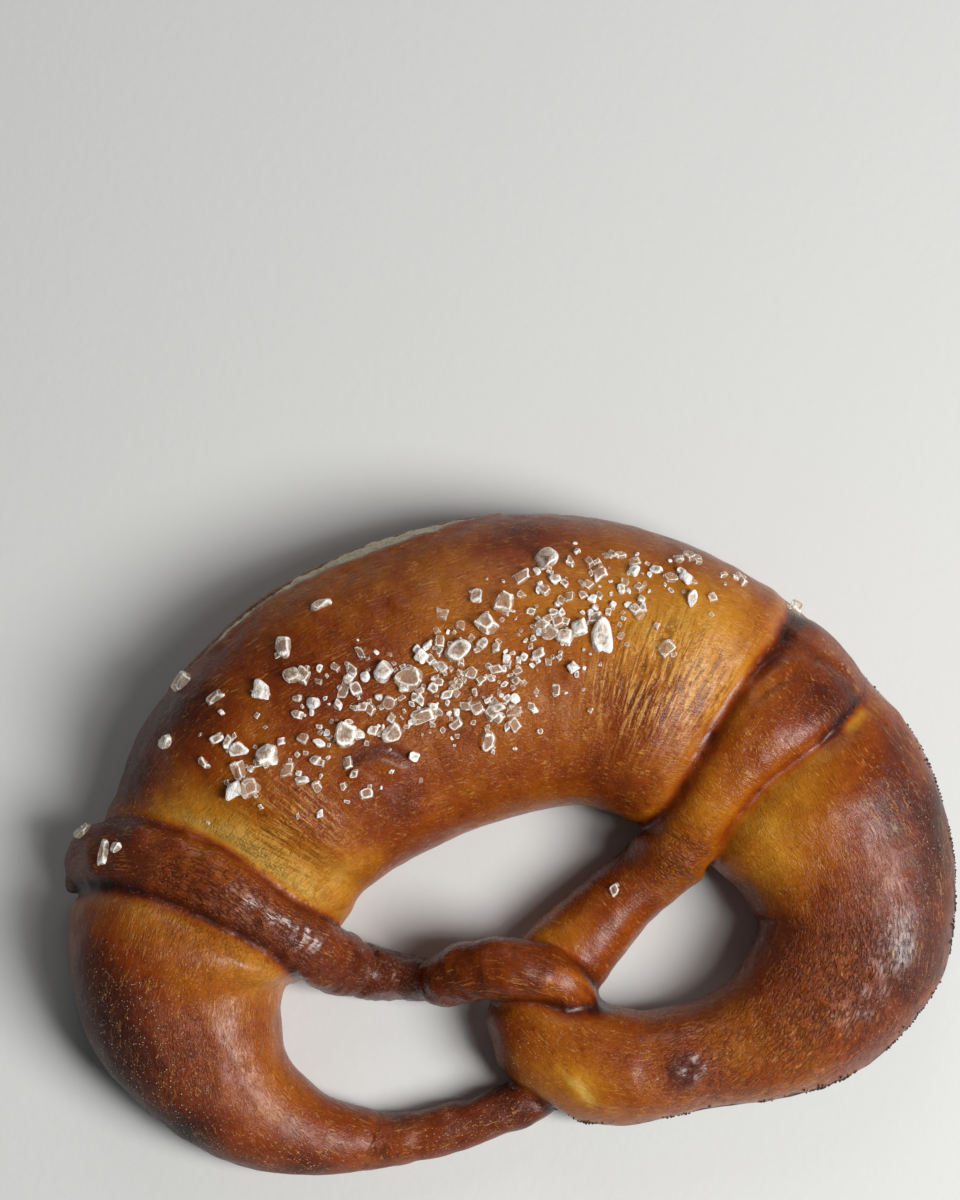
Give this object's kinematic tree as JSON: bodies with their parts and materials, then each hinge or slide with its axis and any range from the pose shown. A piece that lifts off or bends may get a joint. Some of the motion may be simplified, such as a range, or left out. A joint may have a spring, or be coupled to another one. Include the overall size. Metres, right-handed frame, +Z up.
{
  "type": "soft pretzel",
  "caption": "Browned soft pretzel in a wide loop: thick smooth belly, thin twisted arms with their ends pressed onto it, lying flat.",
  "frame": {"origin": "centre of the footprint on the table the pretzel lies on", "axes": "+X across the two loops towards the one with the thick arm, +Y towards the belly, +Z up"},
  "size_m": [0.1506, 0.1113, 0.031],
  "materials": {
    "crust": "satin, lye-browned skin with glossy patches",
    "salt": "frosted coarse salt crystals"
  },
  "bodies": {
    "root": {"pretzel": "crust"}
  },
  "joints": []
}
